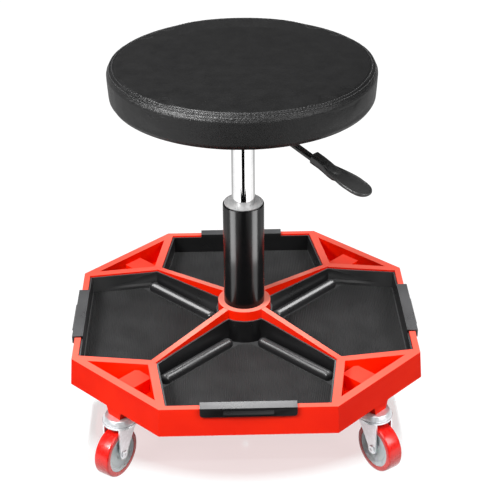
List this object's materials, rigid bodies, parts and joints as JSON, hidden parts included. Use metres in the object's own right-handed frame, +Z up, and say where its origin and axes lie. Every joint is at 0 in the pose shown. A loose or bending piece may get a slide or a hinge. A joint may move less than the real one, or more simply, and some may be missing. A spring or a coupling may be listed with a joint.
{
  "type": "rolling mechanic's stool",
  "caption": "Round padded stool on a gas lift with a height lever, over an octagonal tool tray with lift-out liners, rolling on swivel casters.",
  "frame": {"origin": "on the floor, below the centre of the column and the octagonal tray", "axes": "+Z up; the front of the tray faces -Y, and +X is to the right of someone looking at that front; the lever points to the front right"},
  "size_m": [0.4266, 0.4266, 0.456],
  "materials": {
    "tray_plastic": "satin moulded, fine texture",
    "column_paint": "gloss",
    "black_plastic": "satin moulded",
    "bushing_nylon": "satin moulded, glass filled",
    "zinc_steel": "bright zinc plated",
    "bearing_steel": "polished",
    "chrome": "mirror",
    "seat_board_wood": "sanded plywood",
    "dust_cloth": "non-woven cloth",
    "seat_leather": "fine grained artificial leather, satin",
    "lever_paint": "gloss",
    "paddle_plastic": "satin moulded",
    "liner_plastic": "gloss moulded",
    "mat_rubber": "fine ribbed",
    "wheel_plastic": "satin moulded",
    "tyre_red": "smooth, semi-gloss"
  },
  "bodies": {
    "base": {"tray_base": "tray_plastic", "column_tube": "column_paint", "column_bushing": "bushing_nylon", "base_plate": "zinc_steel", "plate_screws": "zinc_steel", "thrust_race_lower": "bearing_steel", "thrust_balls": "bearing_steel", "caster_stems": "zinc_steel", "swivel_cups": "zinc_steel", "swivel_balls": "bearing_steel"},
    "spindle": {"piston_rod": "chrome", "piston": "black_plastic", "rod_clip": "zinc_steel", "thrust_race_upper": "bearing_steel"},
    "seat": {"gas_cylinder": "chrome", "rod_guide": "black_plastic", "taper_socket": "zinc_steel", "lever_bracket": "zinc_steel", "seat_plate": "zinc_steel", "seat_screws": "zinc_steel", "seat_board": "seat_board_wood", "dust_cover": "dust_cloth", "seat_cushion": "seat_leather", "lever_pivot_pin": "zinc_steel"},
    "lever": {"lever_rod": "lever_paint", "lever_paddle": "paddle_plastic"},
    "valve": {"valve_pin": "zinc_steel"},
    "caster_fl": {"fork_fl": "zinc_steel", "axle_fl": "zinc_steel"},
    "wheel_fl": {"wheel_core_fl": "wheel_plastic", "tyre_fl": "tyre_red"},
    "caster_fr": {"fork_fr": "zinc_steel", "axle_fr": "zinc_steel"},
    "wheel_fr": {"wheel_core_fr": "wheel_plastic", "tyre_fr": "tyre_red"},
    "caster_br": {"fork_br": "zinc_steel", "axle_br": "zinc_steel"},
    "wheel_br": {"wheel_core_br": "wheel_plastic", "tyre_br": "tyre_red"},
    "caster_bl": {"fork_bl": "zinc_steel", "axle_bl": "zinc_steel"},
    "wheel_bl": {"wheel_core_bl": "wheel_plastic", "tyre_bl": "tyre_red"},
    "tray_front": {"liner_front": "liner_plastic", "mat_front": "mat_rubber"},
    "tray_right": {"liner_right": "liner_plastic", "mat_right": "mat_rubber"},
    "tray_back": {"liner_back": "liner_plastic", "mat_back": "mat_rubber"},
    "tray_left": {"liner_left": "liner_plastic", "mat_left": "mat_rubber"}
  },
  "joints": [
    {"name": "seat_swivel", "type": "hinge", "parent": "base", "child": "spindle", "pos_m": [0, 0, 0.275], "axis": [0, 0, 1], "continuous": true},
    {"name": "seat_height", "type": "slide", "parent": "spindle", "child": "seat", "axis": [0, 0, 1], "range_m": [-0.095, 0.025]},
    {"name": "lever_lift", "type": "hinge", "parent": "seat", "child": "lever", "pos_m": [0.0198, -0.0198, 0.39023], "axis": [-0.7071, -0.7071, 0], "range_deg": [0, 6.5], "stiffness_Nm_per_rad": 1},
    {"name": "valve_press", "type": "slide", "parent": "seat", "child": "valve", "axis": [0, 0, -1], "range_m": [0, 0.003]},
    {"name": "caster_swivel_fl", "type": "hinge", "parent": "base", "child": "caster_fl", "pos_m": [-0.14991, -0.14991, 0.067], "axis": [0, 0, 1], "continuous": true},
    {"name": "wheel_spin_fl", "type": "hinge", "parent": "caster_fl", "child": "wheel_fl", "pos_m": [-0.15644, -0.15997, 0.03], "axis": [-0.8387, 0.5446, 0], "continuous": true},
    {"name": "caster_swivel_fr", "type": "hinge", "parent": "base", "child": "caster_fr", "pos_m": [0.14991, -0.14991, 0.067], "axis": [0, 0, 1], "continuous": true},
    {"name": "wheel_spin_fr", "type": "hinge", "parent": "caster_fr", "child": "wheel_fr", "pos_m": [0.15644, -0.15997, 0.03], "axis": [-0.8387, -0.5446, 0], "continuous": true},
    {"name": "caster_swivel_br", "type": "hinge", "parent": "base", "child": "caster_br", "pos_m": [0.14991, 0.14991, 0.067], "axis": [0, 0, 1], "continuous": true},
    {"name": "wheel_spin_br", "type": "hinge", "parent": "caster_br", "child": "wheel_br", "pos_m": [0.15644, 0.15997, 0.03], "axis": [0.8387, -0.5446, 0], "continuous": true},
    {"name": "caster_swivel_bl", "type": "hinge", "parent": "base", "child": "caster_bl", "pos_m": [-0.14991, 0.14991, 0.067], "axis": [0, 0, 1], "continuous": true},
    {"name": "wheel_spin_bl", "type": "hinge", "parent": "caster_bl", "child": "wheel_bl", "pos_m": [-0.15644, 0.15997, 0.03], "axis": [0.8387, 0.5446, 0], "continuous": true},
    {"name": "tray_lift_front", "type": "slide", "parent": "base", "child": "tray_front", "axis": [0, 0, 1], "range_m": [0, 0.06]},
    {"name": "tray_lift_right", "type": "slide", "parent": "base", "child": "tray_right", "axis": [0, 0, 1], "range_m": [0, 0.06]},
    {"name": "tray_lift_back", "type": "slide", "parent": "base", "child": "tray_back", "axis": [0, 0, 1], "range_m": [0, 0.06]},
    {"name": "tray_lift_left", "type": "slide", "parent": "base", "child": "tray_left", "axis": [0, 0, 1], "range_m": [0, 0.06]}
  ],
  "couplings": [
    {"joint": "valve_press", "follows": "lever_lift", "m_per_rad": 0.025}
  ]
}
